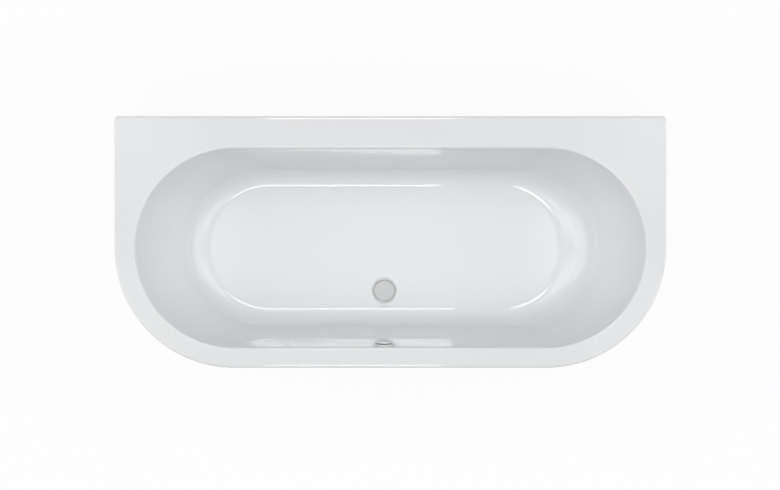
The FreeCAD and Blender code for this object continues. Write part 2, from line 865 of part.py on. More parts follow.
def make_waste_body():
    """The moulded cup under the drain, with the overflow's socket in front and the outlet below."""
    flange_low = waste_top_z - waste_flange_thickness
    neck = throat_outer + slide_clearance
    body = revolve(
        [
            (waste_bore, waste_end_z),
            (pipe_radius, waste_end_z),
            (pipe_radius, funnel_end_z),
            (waste_outer, chamber_end_z),
            (waste_outer, flange_low),
            (flange_radius, flange_low),
            (flange_radius, waste_top_z),
            (neck, waste_top_z),
            (neck, waste_neck_z),
            (waste_chamber_radius, waste_neck_z),
            (waste_chamber_radius, chamber_end_z),
            (waste_bore, funnel_end_z),
        ]
    )
    bore = overflow_pipe_radius + seat_clearance
    inside = vector(0, -waste_chamber_radius, chamber_middle_z)
    mouth = vector(0, -waste_outer - overflow_socket_length, chamber_middle_z)
    socket = cylinder(bore + overflow_socket_wall, inside, mouth)
    rounds = cylinder(waste_chamber_radius, vector(0, 0, chamber_end_z), vector(0, 0, waste_neck_z))
    body = body.fuse(socket.cut(rounds))
    stop = mouth + vector(0, overflow_insert, 0)
    body = body.cut([cylinder(bore, stop, mouth),
                     cylinder(bore - overflow_pipe_wall, vector(0, 0, chamber_middle_z), mouth)])
    gland_x = math.sqrt(waste_outer**2 - lever_reach**2) + lever_pin_stand_out - crank_thickness / 2
    gland_z = lever_z - crank_length
    gland_end = vector(gland_x, -waste_outer, gland_z)
    gland_start = gland_end + vector(0, gland_length, 0)
    web = box(0, gland_end.y + gland_length / 4, gland_z - gland_radius / 2,
              gland_x, gland_start.y - gland_length / 4, gland_z + gland_radius / 2)
    gland = cylinder(gland_radius, gland_start, gland_end).fuse(web.cut(rounds))
    body = body.fuse(gland).cut(cylinder(gland_bore_radius, gland_start, gland_end))
    pin_hole = lever_pin_radius + slide_clearance
    left = vector(-2 * waste_outer, lever_reach, lever_z)
    body = body.cut(cylinder(pin_hole, left, vector(2 * waste_outer, lever_reach, lever_z)))
    return at_drain(body.removeSplitter())


def make_lift_lever():
    """The rocker under the plug's stem, on its own pin, with a crank outside the cup."""
    tip_y = lever_reach - lever_reach * math.cos(radians(lever_swing))
    tip_z = lever_z - lever_reach * math.sin(radians(lever_swing))
    half = lever_width / 2
    pivot = vector(0, lever_reach, lever_z)
    along = vector(half, 0, 0)
    lever = cylinder(lever_hub_radius, pivot - along, pivot + along)
    tip = vector(0, tip_y, tip_z)
    lever = lever.fuse(cylinder(lever_tip_radius, tip - along, tip + along))
    web = box(-half, 0, -lever_tip_radius, half, lever_reach, lever_tip_radius)
    web = web.rotate(vector(0, 0, 0), vector(1, 0, 0), lever_swing).translate(tip)
    lever = lever.fuse(web)
    wall_x = math.sqrt(waste_outer**2 - lever_reach**2)
    outer_x = wall_x + lever_pin_stand_out
    pin = cylinder(lever_pin_radius, pivot - vector(wall_x, 0, 0), pivot + vector(outer_x, 0, 0))
    crank_x = outer_x - crank_thickness
    eye_radius = crank_eye_radius + crank_eye_wall
    across = vector(crank_thickness, 0, 0)
    hang = vector(crank_x, lever_reach, lever_z)
    eye = hang - vector(0, 0, crank_length)
    crank = box(crank_x, lever_reach - lever_tip_radius, eye.z,
                outer_x, lever_reach + lever_tip_radius, lever_z)
    for centre in (hang, eye):
        crank = crank.fuse(cylinder(eye_radius, centre, centre + across))
    crank = crank.cut(cylinder(crank_eye_radius, eye, eye + across))
    crank = crank.rotate(hang, vector(1, 0, 0), lever_swing)
    return at_drain(lever.fuse([pin, crank]).removeSplitter())


# Heights and runs in the trap, from the waste's outlet downwards
trap_centre_z = waste_end_z - trap_inlet_drop
trap_x = 2 * trap_radius
trap_top_z = trap_centre_z + trap_outlet_rise
elbow_start_z = trap_top_z + elbow_rise
outlet_z = elbow_start_z + elbow_radius
socket_y = elbow_radius + elbow_run
socket_radius = pipe_radius + seat_clearance
socket_outer = socket_radius + socket_wall
union_outer = pipe_radius + union_wall


def pipe(path, outer, inner):
    """A round pipe along a wire, with its bore."""
    edge = path.Edges[0]
    start = edge.valueAt(edge.FirstParameter)
    direction = edge.tangentAt(edge.FirstParameter)
    solids = []
    for radius in (outer, inner):
        ring = Part.Wire([Part.makeCircle(radius, start, direction)])
        solids.append(path.makePipeShell([ring], True, True))
    return solids[0].cut(solids[1])


def make_trap_bend():
    """The U bend that holds the water seal, with a cleaning boss at its lowest point."""
    start = vector(0, 0, waste_end_z)
    low = vector(0, 0, trap_centre_z)
    bottom = vector(trap_radius, 0, trap_centre_z - trap_radius)
    rise = vector(trap_x, 0, trap_centre_z)
    top = vector(trap_x, 0, trap_top_z)
    path = Part.Wire([line(start, low), arc(low, bottom, rise), line(rise, top)])
    bend = pipe(path, pipe_radius, waste_bore)
    boss_top = bottom - vector(0, 0, waste_bore)
    boss_end = bottom - vector(0, 0, pipe_radius + cleaning_boss_height)
    boss = cylinder(cleaning_cap_radius, boss_end, boss_top + vector(0, 0, pipe_radius / 4))
    path_bore = pipe(path, waste_bore, waste_bore / 2)
    return at_drain(bend.fuse(boss.cut(path_bore)).removeSplitter())


def make_cleaning_cap():
    top = trap_centre_z - trap_radius - pipe_radius - cleaning_boss_height
    start = vector(trap_radius, 0, top - cleaning_cap_height)
    rim = cleaning_cap_radius + cleaning_cap_overhang
    cap = cylinder(rim, start, vector(trap_radius, 0, top))
    half = cleaning_slot_width / 2
    grip = box(trap_radius - half, -rim, start.z,
               trap_radius + half, rim, start.z + cleaning_cap_height / 2)
    return at_drain(cap.cut(grip))


def make_trap_outlet():
    """The elbow that turns to the wall and ends in a socket for the house pipe."""
    start = vector(trap_x, 0, trap_top_z)
    low = vector(trap_x, 0, elbow_start_z)
    reach = elbow_radius * (1 - math.sqrt(0.5))
    middle = vector(trap_x, reach, outlet_z - reach)
    end = vector(trap_x, elbow_radius, outlet_z)
    mouth = vector(trap_x, socket_y, outlet_z)
    path = Part.Wire([line(start, low), arc(low, middle, end), line(end, mouth)])
    elbow = pipe(path, pipe_radius, waste_bore)
    far = mouth + vector(0, socket_depth, 0)
    shoulder = mouth - vector(0, socket_wall, 0)
    socket = cylinder(socket_outer, shoulder, far).cut(cylinder(waste_bore, shoulder, far))
    return at_drain(elbow.fuse(socket).cut(cylinder(socket_radius, mouth, far)).removeSplitter())


def union_nut(start, end, inner, outer):
    """A ring nut with grip flutes round it."""
    nut = tube(outer, inner, start, end)
    direction = end - start
    side = vector(1, 0, 0).cross(direction)
    if side.Length < 1e-6:
        side = vector(0, 0, 1)
    side.normalize()
    flutes = []
    for step in range(flute_count):
        turn = FreeCAD.Rotation(direction, 360 * step / flute_count)
        offset = turn.multVec(side) * (outer + flute_radius / 2)
        flutes.append(cylinder(flute_radius, start + offset, end + offset))
    return nut.cut(flutes)


def make_trap_inlet_union():
    inner = pipe_radius + seat_clearance
    half = union_length / 2
    start = vector(0, 0, waste_end_z - half)
    return at_drain(union_nut(start, vector(0, 0, waste_end_z + half), inner, union_outer))


def make_trap_outlet_union():
    inner = pipe_radius + seat_clearance
    low = vector(trap_x, 0, trap_centre_z)
    return at_drain(union_nut(low, vector(trap_x, 0, elbow_start_z), inner, union_outer))


def make_socket_nut():
    """The cap nut that grips the house pipe in the socket."""
    end = socket_y + socket_depth
    start = vector(trap_x, end - union_length + socket_nut_front, outlet_z)
    mouth = vector(trap_x, end + socket_nut_front, outlet_z)
    inner = socket_outer + seat_clearance
    nut = union_nut(start, mouth, pipe_radius + socket_nut_gap, inner + socket_nut_wall)
    return at_drain(nut.cut(cylinder(inner, start, vector(trap_x, end + seat_clearance, outlet_z))))


# Depths behind the front wall, along the overflow's own axis
overflow_back = -shell_thickness
overflow_flange_back = overflow_back - overflow_gasket
chamber_front = overflow_flange_back - overflow_flange_thickness
chamber_back = chamber_front - overflow_chamber_depth
knob_back = rosette_thickness + knob_stand_off


def make_overflow_rosette():
    """The ring on the basin's side, with a spider that carries the control's shaft."""
    inside = rosette_edge_radius * (1 - math.sqrt(0.5))
    ring = revolve(
        [
            (rosette_bore_radius, 0),
            (rosette_radius, 0),
            (rosette_radius, rosette_thickness - rosette_edge_radius),
            (rosette_radius - inside, rosette_thickness - inside, "arc"),
            (rosette_radius - rosette_edge_radius, rosette_thickness),
            (rosette_bore_radius, rosette_thickness),
        ]
    )
    low, high = vector(0, 0, 0), vector(0, 0, rosette_thickness)
    spider = cylinder(rosette_hub_radius, low, high)
    reach = (rosette_bore_radius + rosette_radius) / 2
    width = 2 * rosette_screw_head
    spider = spider.fuse(box(-reach, -width / 2, 0, reach, width / 2, rosette_thickness))
    cuts = [cylinder(shaft_radius + slide_clearance, low, high)]
    for side in (-1, 1):
        place = vector(side * rosette_screw_circle, 0, 0)
        cuts.append(cylinder(screw_radius + slide_clearance, place, place + high))
    return at_overflow(ring.fuse(spider).cut(cuts).removeSplitter())


def make_rosette_screws():
    screws = []
    for side in (-1, 1):
        place = vector(side * rosette_screw_circle, 0, 0)
        head_seat = vector(0, 0, rosette_thickness)
        screw_end = place + vector(0, 0, chamber_front - rosette_screw_grip)
        screw = cylinder(screw_radius, screw_end, place + head_seat)
        head = cylinder(rosette_screw_head, place + head_seat,
                        place + head_seat + vector(0, 0, screw_head_height))
        screws.append(at_overflow(screw.fuse(head)))
    return Part.makeCompound(screws)


def make_overflow_gasket():
    start, end = vector(0, 0, overflow_flange_back), vector(0, 0, overflow_back)
    return at_overflow(tube(overflow_flange_radius, overflow_hole_radius, start, end))


def overflow_outlet():
    """The top and the foot of the overflow's downward socket."""
    placement = overflow_placement()
    centre = placement.multVec(vector(0, 0, (chamber_front + chamber_back) / 2))
    foot = centre - vector(0, 0, overflow_chamber_radius + overflow_socket_length)
    return centre, foot


def make_overflow_body():
    """The chamber behind the wall, with screw bosses and a socket that points down."""
    start, end = vector(0, 0, chamber_back), vector(0, 0, overflow_flange_back)
    inner = overflow_chamber_radius - overflow_chamber_wall
    back = vector(0, 0, chamber_back - overflow_chamber_wall)
    body = cylinder(overflow_chamber_radius, back, end)
    body = body.fuse(cylinder(overflow_flange_radius, vector(0, 0, chamber_front), end))
    body = body.cut(cylinder(inner, start, end))
    half = rosette_boss_side / 2
    for side in (-1, 1):
        place = vector(side * rosette_screw_circle, 0, 0)
        x0, x1 = sorted((place.x - side * half, side * (inner + overflow_chamber_wall / 2)))
        boss = box(x0, -half, chamber_back, x1, half, chamber_front)
        hole_end = place + vector(0, 0, chamber_front - rosette_screw_grip - slide_clearance)
        hole = cylinder(screw_radius + slide_clearance, hole_end, place + vector(0, 0, chamber_front))
        body = body.fuse(boss).cut(hole)
    middle_z = (chamber_front + chamber_back) / 2
    gland_x = overflow_chamber_radius - 2 * gland_radius
    gland_y = -math.sqrt(overflow_chamber_radius**2 - gland_x**2)
    gland_top = vector(gland_x, gland_y + overflow_chamber_wall, middle_z)
    gland_end = vector(gland_x, gland_y - gland_length, middle_z)
    gland = cylinder(gland_radius, gland_top, gland_end).cut(cylinder(inner, start, end))
    inlet = cylinder(gland_bore_radius, gland_top + vector(0, gland_length, 0), gland_end)
    body = body.fuse(gland).cut(inlet)
    body = at_overflow(body)
    bore = overflow_pipe_radius + seat_clearance
    centre, foot = overflow_outlet()
    socket = cylinder(bore + overflow_socket_wall, foot, centre)
    chamber = at_overflow(cylinder(inner, start, end))
    body = body.fuse(socket.cut(chamber))
    stop = foot + vector(0, 0, overflow_insert)
    body = body.cut([cylinder(bore, foot, stop), cylinder(bore - overflow_pipe_wall, foot, centre)])
    return body.removeSplitter()


def make_overflow_pipe():
    """The pipe from the overflow down behind the wall and in to the waste's socket."""
    _, foot = overflow_outlet()
    top = foot + vector(0, 0, overflow_insert)
    end_y = drain_y - waste_outer - overflow_socket_length + overflow_insert
    end = vector(drain_x, end_y, chamber_middle_z)
    corner = vector(drain_x, foot.y, chamber_middle_z)
    turn = overflow_bend_radius
    reach = turn * (1 - math.sqrt(0.5))
    bend_start = corner + vector(0, 0, turn)
    bend_end = corner + vector(0, turn, 0)
    middle = corner + vector(0, reach, reach)
    path = Part.Wire([line(top, bend_start), arc(bend_start, middle, bend_end), line(bend_end, end)])
    return pipe(path, overflow_pipe_radius, overflow_pipe_radius - overflow_pipe_wall)


def overflow_union(mouth, inward):
    """A ring nut on the mouth of an overflow socket, with a front wall round the pipe."""
    outer_socket = overflow_pipe_radius + 2 * seat_clearance + overflow_socket_wall
    start = mouth - inward * overflow_nut_front
    end = mouth + inward * (overflow_insert + overflow_nut_overlap)
    nut = union_nut(start, end, overflow_pipe_radius + seat_clearance, outer_socket + overflow_nut_wall)
    return nut.cut(cylinder(outer_socket, mouth, end))


def make_overflow_upper_union():
    _, foot = overflow_outlet()
    return overflow_union(foot, vector(0, 0, 1))


def make_overflow_lower_union():
    mouth = vector(drain_x, drain_y - waste_outer - overflow_socket_length, chamber_middle_z)
    return overflow_union(mouth, vector(0, 1, 0))


def make_overflow_knob():
    """The round control in front of the rosette, with a soft front edge and a dished face."""
    front = knob_back + knob_thickness
    inside = knob_edge_radius * (1 - math.sqrt(0.5))
    dish_radius, dish_height = crown_middle(knob_radius - knob_edge_radius, knob_dish)
    profile = [
        (0, rosette_thickness + seat_clearance),
        (rosette_hub_radius, rosette_thickness + seat_clearance),
        (rosette_hub_radius, knob_back),
        (knob_radius - knob_chamfer, knob_back),
        (knob_radius, knob_back + knob_chamfer),
        (knob_radius, front - knob_edge_radius),
        (knob_radius - inside, front - inside, "arc"),
        (knob_radius - knob_edge_radius, front),
        (dish_radius, front - dish_height, "arc"),
        (0, front - knob_dish),
    ]
    knob = revolve(profile)
    bore_start = vector(0, 0, rosette_thickness)
    bore = cylinder(shaft_radius, bore_start, vector(0, 0, knob_back + knob_thickness / 2))
    return at_overflow(knob.cut(bore))


def make_control_shaft():
    """The shaft through the rosette's spider, with the cam that draws the cable."""
    front = vector(0, 0, knob_back + knob_thickness / 2)
    cam_back = chamber_back + cam_gap
    shaft = cylinder(shaft_radius, vector(0, 0, cam_back), front)
    cam = cylinder(cam_radius, vector(0, 0, cam_back), vector(0, 0, cam_back + cam_thickness))
    pin_place = vector(0, cam_pin_circle, cam_back + cam_thickness)
    pin = cylinder(cam_pin_radius, pin_place, pin_place + vector(0, 0, cam_thickness))
    return at_overflow(shaft.fuse([cam, pin]).removeSplitter())


def make_parts():
    parts = {
        "tub_shell": make_tub_shell(),
        "base_board": make_base_board(),
        "board_screws": make_board_screws(),
        "rear_rim_batten": make_rear_batten(),
        "front_left_rim_batten": make_front_batten(-1),
        "front_right_rim_batten": make_front_batten(1),
        "left_rim_batten": make_end_batten(-1),
        "right_rim_batten": make_end_batten(1),
        "left_leg_bar": make_leg_bar(bar_x[0]),
        "right_leg_bar": make_leg_bar(bar_x[1]),
        "foot_lock_nuts": make_foot_nuts(),
        "centre_foot_plate": make_centre_foot_plate(),
        "front_panel": make_front_panel(),
        "panel_clips": make_panel_clips(),
        "left_panel_stay": make_panel_stay(bar_x[0]),
        "right_panel_stay": make_panel_stay(bar_x[1]),
        "panel_stay_screws": make_stay_screws(),
        "left_wall_bracket": make_wall_bracket(-1),
        "right_wall_bracket": make_wall_bracket(1),
        "wall_bracket_screws": make_bracket_screws(),
        "drain_plug": make_drain_plug(),
        "plug_stem": make_plug_stem(),
        "plug_seal": make_plug_seal(),
        "drain_flange": make_drain_flange(),
        "drain_flange_gasket": make_flange_gasket(),
        "waste_gasket": make_waste_gasket(),
        "waste_body": make_waste_body(),
        "lift_lever": make_lift_lever(),
        "trap_bend": make_trap_bend(),
        "trap_cleaning_cap": make_cleaning_cap(),
        "trap_outlet_elbow": make_trap_outlet(),
        "trap_inlet_union": make_trap_inlet_union(),
        "trap_outlet_union": make_trap_outlet_union(),
        "outlet_socket_nut": make_socket_nut(),
        "overflow_rosette": make_overflow_rosette(),
        "rosette_screws": make_rosette_screws(),
        "overflow_gasket": make_overflow_gasket(),
        "overflow_body": make_overflow_body(),
        "overflow_pipe": make_overflow_pipe(),
        "overflow_upper_union": make_overflow_upper_union(),
        "overflow_lower_union": make_overflow_lower_union(),
        "overflow_knob": make_overflow_knob(),
        "control_shaft": make_control_shaft(),
    }
    rod_top = tub_underside(foot_outset - rod_radius) - foot_raise - rod_wall_clearance
    for name, x, y in foot_places():
        parts[f"{name}_foot_rod"] = make_foot_rod(x, y, rod_top)
        parts[f"{name}_foot_pad"] = make_foot_pad(x, y)
    centre_x = floor_middle + centre_foot_x
    centre_y = basin_y + centre_foot_y
    centre_top = board_bottom_z - centre_plate_gauge - foot_raise - rod_end_clearance
    parts["centre_foot_rod"] = make_foot_rod(centre_x, centre_y, centre_top)
    parts["centre_foot_pad"] = make_foot_pad(centre_x, centre_y)
    return parts


def main():
    """Writes one file for each sub-part."""
    os.makedirs("parts", exist_ok=True)
    for name, shape in make_parts().items():
        shape.exportStep(os.path.join("parts", f"{name}.step"))
        solids = shape.Solids
        volume = sum(solid.Volume for solid in solids)
        print(f"{name}: {len(solids)} solids, {volume / 1000:.1f} cm3, valid {shape.isValid()}")


main()
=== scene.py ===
import bpy
import json
import math
from mathutils import Matrix, Vector


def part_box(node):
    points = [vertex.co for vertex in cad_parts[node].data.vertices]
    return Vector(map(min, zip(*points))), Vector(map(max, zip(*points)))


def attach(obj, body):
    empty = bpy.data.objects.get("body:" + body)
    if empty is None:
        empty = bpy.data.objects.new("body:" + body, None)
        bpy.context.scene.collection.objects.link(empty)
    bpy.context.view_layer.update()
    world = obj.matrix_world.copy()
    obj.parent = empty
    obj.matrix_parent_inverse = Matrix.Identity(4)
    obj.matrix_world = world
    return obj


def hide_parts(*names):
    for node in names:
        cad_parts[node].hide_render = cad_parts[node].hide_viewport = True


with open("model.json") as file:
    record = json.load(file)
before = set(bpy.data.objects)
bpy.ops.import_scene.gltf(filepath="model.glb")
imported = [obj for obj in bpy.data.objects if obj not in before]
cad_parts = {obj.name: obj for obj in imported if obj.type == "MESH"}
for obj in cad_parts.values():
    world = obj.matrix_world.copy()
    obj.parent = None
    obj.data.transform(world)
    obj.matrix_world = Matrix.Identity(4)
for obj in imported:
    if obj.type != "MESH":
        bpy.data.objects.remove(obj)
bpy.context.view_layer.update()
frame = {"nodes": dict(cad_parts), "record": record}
nodes = frame["nodes"]

# Shell of the bath, in metres
tub_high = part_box("tub_shell")[1]
half_length = tub_high.x
half_depth = tub_high.y
rim_z = tub_high.z
rim_width = 0.066
deck_width = 0.104
wall_corner_radius = 0.012
basin_depth = 0.430
shell = 0.008
lip_height = 0.038
lip_edge_radius = 0.006
lip_foot_radius = 0.0015
under_rim_radius = 0.004
rim_roll_radius = 0.008
side_slope = math.tan(math.radians(9.7))
end_slope = math.tan(math.radians(22.5))
side_fillet = 0.064
left_fillet = 0.090
right_fillet = 0.150

# Drain recess and overflow hole
drain_from_front = 0.0535
drain_hole_radius = 0.026
recess_radius = 0.046
recess_floor_radius = 0.038
recess_depth = 0.005
recess_edge_radius = 0.020
recess_foot_radius = 0.002
boss_edge_radius = 0.0015
overflow_drop = 0.055
overflow_hole_radius = 0.026

# Front panel
panel_inset = 0.011
panel_thickness = 0.004
panel_wall_gap = 0.002
panel_return = 0.025
panel_bend = 0.005
panel_lip_gap = 0.003
panel_ease = 0.0008

# Feet
feet = ("left_front", "left_rear", "right_front", "right_rear", "centre")
thread_pitch = 0.00175
thread_depth = 0.0011
thread_steps = 16

# Steps of the meshes
front_steps = 54
rear_steps = 24
quarter_steps = 40
side_steps = 22
corner_steps = 6
deck_steps = 20
fillet_steps = 40
wall_steps = 10
round_steps = 7
recess_steps = 6
under_steps = 3
hole_steps = 96
ease_steps = 2

# Angles in degrees that count as an edge, and the flat band kept beside a rounding
sharp_angle = 35
ease_angle = 40
support = 0.003

# Places worked out from the sizes above
floor_z = rim_z - basin_depth
under_rim_z = rim_z - shell
lip_bottom_z = rim_z - lip_height
opening_radius = half_depth - (rim_width + deck_width) / 2
basin_y = -half_depth + rim_width + opening_radius
opening_end = half_length - rim_width
straight_half = opening_end - opening_radius
outline_radius = opening_radius + rim_width
recess_z = floor_z - recess_depth
tallest_fillet = max(side_fillet, left_fillet, right_fillet)

# Picture
picture_middle = Vector((-0.0013, -0.0096))
camera_height = 30.0
camera_y = 0.150
camera_lens = 424.4
camera_sensor = 36.0

# Stage
floor_reach = 40.0
floor_drop = 0.0005
floor_tone = 0.95
floor_white = 0.93
world_strength = 0.155

# Lamps
lamp_height = 5.8
strip_radiance = 12.0
bank_near = 1.1
bank_far = 4.5
bank_start = 0.5
bank_end = 3.0
bank_fade = 0.9
glow_front = -0.22
glow_rear = 0.18
glow_fade = 0.18
edge_layers = 5
layer_gap = 0.01
screen_x = 4.5
screen_width = 5.0
screen_height = 4.0
screen_middle = 3.2

# Span that most values of a noise lie in
noise_low = 0.3
noise_high = 0.7


def wall_run(height, fillet, slope):
    """How far a wall has moved out from the flat floor's edge at a height above that floor."""
    lean = math.atan(slope)
    tangent = fillet * (1 - math.sin(lean))
    if height <= tangent:
        return math.sqrt(max(0.0, fillet**2 - (fillet - height) ** 2))
    return fillet * math.cos(lean) + (height - tangent) * slope


floor_radius = opening_radius - wall_run(basin_depth, side_fillet, side_slope)
floor_left = -opening_end + wall_run(basin_depth, left_fillet, end_slope)
floor_right = opening_end - wall_run(basin_depth, right_fillet, end_slope)
drain = Vector(((floor_left + floor_right) / 2, basin_y - floor_radius + drain_from_front))


# Node helpers for the materials
def new_material(name, metallic, roughness):
    """A material, its node tree and its surface shader."""
    made = bpy.data.materials.new(name)
    made.use_nodes = True
    surface = made.node_tree.nodes["Principled BSDF"]
    surface.inputs["Metallic"].default_value = metallic
    surface.inputs["Roughness"].default_value = roughness
    return made, made.node_tree, surface


def coordinates(tree, stretch=(1, 1, 1), turn=(0, 0, 0)):
    where = tree.nodes.new("ShaderNodeTexCoord")
    mapping = tree.nodes.new("ShaderNodeMapping")
    mapping.inputs["Scale"].default_value = stretch
    mapping.inputs["Rotation"].default_value = turn
    tree.links.new(where.outputs["Object"], mapping.inputs["Vector"])
    return mapping.outputs["Vector"]


def noise(tree, where, scale, detail=3.0):
    made = tree.nodes.new("ShaderNodeTexNoise")
    made.inputs["Scale"].default_value = scale
    made.inputs["Detail"].default_value = detail
    tree.links.new(where, made.inputs["Vector"])
    return made.outputs["Fac"]


def cells(tree, where, scale):
    """A random grey for each cell of a cracked pattern."""
    made = tree.nodes.new("ShaderNodeTexVoronoi")
    made.inputs["Scale"].default_value = scale
    grey = tree.nodes.new("ShaderNodeSeparateColor")
    tree.links.new(where, made.inputs["Vector"])
    tree.links.new(made.outputs["Color"], grey.inputs["Color"])
    return grey.outputs["Red"]


def combine(tree, kind, first, second):
    made = tree.nodes.new("ShaderNodeMath")
    made.operation = kind
    tree.links.new(first, made.inputs[0])
    tree.links.new(second, made.inputs[1])
    return made.outputs["Value"]


def tint(tree, surface, factor, stops):
    """Colours the surface by a factor, through stops of (place, colour)."""
    ramp = tree.nodes.new("ShaderNodeValToRGB")
    elements = ramp.color_ramp.elements
    while len(elements) < len(stops):
        elements.new(0.5)
    for element, (place, colour) in zip(elements, stops):
        element.position = place
        element.color = (*colour, 1.0)
    tree.links.new(factor, ramp.inputs["Fac"])
    tree.links.new(ramp.outputs["Color"], surface.inputs["Base Color"])


def shade(tree, surface, factor, low, high):
    """Colours the surface between two near tones with a noise."""
    tint(tree, surface, factor, [(noise_low, low), (noise_high, high)])


def vary_roughness(tree, surface, factor, low, high):
    """Moves the surface's roughness between two limits with a noise."""
    limits = tree.nodes.new("ShaderNodeMapRange")
    limits.inputs["From Min"].default_value = noise_low
    limits.inputs["From Max"].default_value = noise_high
    limits.inputs["To Min"].default_value = low
    limits.inputs["To Max"].default_value = high
    tree.links.new(factor, limits.inputs["Value"])
    tree.links.new(limits.outputs["Result"], surface.inputs["Roughness"])


def bump(tree, surface, height, strength, distance):
    made = tree.nodes.new("ShaderNodeBump")
    made.inputs["Strength"].default_value = strength
    made.inputs["Distance"].default_value = distance
    tree.links.new(height, made.inputs["Height"])
    tree.links.new(made.outputs["Normal"], surface.inputs["Normal"])


# Materials
def acrylic(name, low, high):
    """Glossy white sheet with a trace of unevenness in its tone, gloss and flatness."""
    made, tree, surface = new_material(name, metallic=0.0, roughness=0.1)
    where = coordinates(tree)
    shade(tree, surface, noise(tree, where, scale=2.5), low, high)
    vary_roughness(tree, surface, noise(tree, where, scale=9.0, detail=5.0), low=0.015, high=0.025)
    bump(tree, surface, noise(tree, where, scale=240.0, detail=1.0), strength=0.01, distance=0.0002)
    surface.inputs["IOR"].default_value = 1.49
    return made


def laminate():
    """Sprayed resin and chopped glass strands on the shell's hidden side."""
    made, tree, surface = new_material("glass_laminate", metallic=0.0, roughness=0.45)
    thin = (1, 9, 9)
    strands = noise(tree, coordinates(tree, thin), scale=90.0)
    for turn in (0.9, 1.9, 2.6):
        more = noise(tree, coordinates(tree, thin, (turn, turn, turn)), scale=90.0)
        strands = combine(tree, "MAXIMUM", strands, more)
    stops = [(0.48, (0.50, 0.47, 0.38)), (0.62, (0.62, 0.60, 0.51)), (0.75, (0.76, 0.75, 0.69))]
    tint(tree, surface, strands, stops)
    vary_roughness(tree, surface, noise(tree, coordinates(tree), scale=30.0), low=0.32, high=0.58)
    bump(tree, surface, strands, strength=0.5, distance=0.0012)
    return made


def chipboard():
    """Pressed wood chips of several browns, with a fine grain over them."""
    made, tree, surface = new_material("chipboard", metallic=0.0, roughness=0.8)
    chips = cells(tree, coordinates(tree, (1.0, 1.8, 1.4)), scale=190.0)
    fine = noise(tree, coordinates(tree), scale=420.0, detail=6.0)
    mixed = combine(tree, "MULTIPLY", chips, fine)
    stops = [(0.03, (0.28, 0.18, 0.10)), (0.25, (0.52, 0.38, 0.23)), (0.6, (0.70, 0.56, 0.38))]
    tint(tree, surface, mixed, stops)
    vary_roughness(tree, surface, fine, low=0.65, high=0.9)
    bump(tree, surface, mixed, strength=0.4, distance=0.0006)
    return made


def softwood(name, stretch):
    """Planed pine with its grain along the axis that is stretched least."""
    made, tree, surface = new_material(name, metallic=0.0, roughness=0.6)
    grain = noise(tree, coordinates(tree, stretch), scale=7.0, detail=4.0)
    fibre = noise(tree, coordinates(tree, stretch), scale=60.0, detail=6.0)
    stops = [(0.36, (0.76, 0.60, 0.38)), (0.50, (0.70, 0.51, 0.29)), (0.60, (0.52, 0.33, 0.16))]
    tint(tree, surface, grain, stops)
    vary_roughness(tree, surface, fibre, low=0.5, high=0.75)
    bump(tree, surface, fibre, strength=0.3, distance=0.0004)
    return made


def galvanised():
    """Hot-dip zinc with its patchwork of crystals."""
    made, tree, surface = new_material("galvanised_steel", metallic=1.0, roughness=0.4)
    crystals = cells(tree, coordinates(tree), scale=120.0)
    tint(tree, surface, crystals, [(0.0, (0.46, 0.48, 0.50)), (1.0, (0.66, 0.68, 0.70))])
    vary_roughness(tree, surface, crystals, low=0.30, high=0.48)
    bump(tree, surface, noise(tree, coordinates(tree), scale=300.0), strength=0.1, distance=0.0002)
    return made


def zinc_plate():
    """Bright zinc plating with faint yellowish stains."""
    made, tree, surface = new_material("zinc_steel", metallic=1.0, roughness=0.3)
    stain = noise(tree, coordinates(tree), scale=90.0, detail=5.0)
    tint(tree, surface, stain, [(0.35, (0.60, 0.60, 0.57)), (0.65, (0.70, 0.71, 0.73))])
    vary_roughness(tree, surface, stain, low=0.24, high=0.38)
    bump(tree, surface, noise(tree, coordinates(tree), scale=900.0), strength=0.1, distance=0.0001)
    return made


def satin_chrome(name, metallic, low, high):
    """Chromed metal with a fine brushed grain, which scatters more the less metallic it is."""
    made, tree, surface = new_material(name, metallic, roughness=0.4)
    brushed = noise(tree, coordinates(tree, (1, 14, 14)), scale=120.0, detail=4.0)
    shade(tree, surface, brushed, low, high)
    vary_roughness(tree, surface, brushed, low=0.36, high=0.44)
    bump(tree, surface, brushed, strength=0.05, distance=0.0001)
    return made


def moulded(name, low, high, roughness, grain):
    """Moulded plastic or rubber, mottled and lightly grained."""
    made, tree, surface = new_material(name, metallic=0.0, roughness=roughness)
    mottle = noise(tree, coordinates(tree), scale=35.0, detail=4.0)
    shade(tree, surface, mottle, low, high)
    vary_roughness(tree, surface, mottle, low=roughness - 0.06, high=roughness + 0.08)
    bump(tree, surface, noise(tree, coordinates(tree), scale=grain), strength=0.15, distance=0.0002)
    return made


finishes = {
    "white_acrylic": acrylic("white_acrylic", (0.785, 0.795, 0.805), (0.795, 0.805, 0.815)),
    "panel_acrylic": acrylic("panel_acrylic", (0.780, 0.790, 0.800), (0.795, 0.805, 0.815)),
    "chipboard": chipboard(),
    "batten_wood": softwood("batten_wood", (1, 16, 16)),
    "galvanised_steel": galvanised(),
    "zinc_steel": zinc_plate(),
    "satin_chrome": satin_chrome("satin_chrome", 0.3, (0.68, 0.685, 0.69), (0.71, 0.715, 0.72)),
    "white_plastic": moulded("white_plastic", (0.74, 0.74, 0.72), (0.80, 0.80, 0.78), 0.36, 700.0),
    "grey_plastic": moulded("grey_plastic", (0.24, 0.25, 0.26), (0.31, 0.32, 0.33), 0.42, 600.0),
    "foot_plastic": moulded("foot_plastic", (0.045, 0.045, 0.05), (0.07, 0.07, 0.075), 0.48, 500.0),
    "black_rubber": moulded("black_rubber", (0.02, 0.02, 0.02), (0.04, 0.04, 0.04), 0.62, 900.0),
}


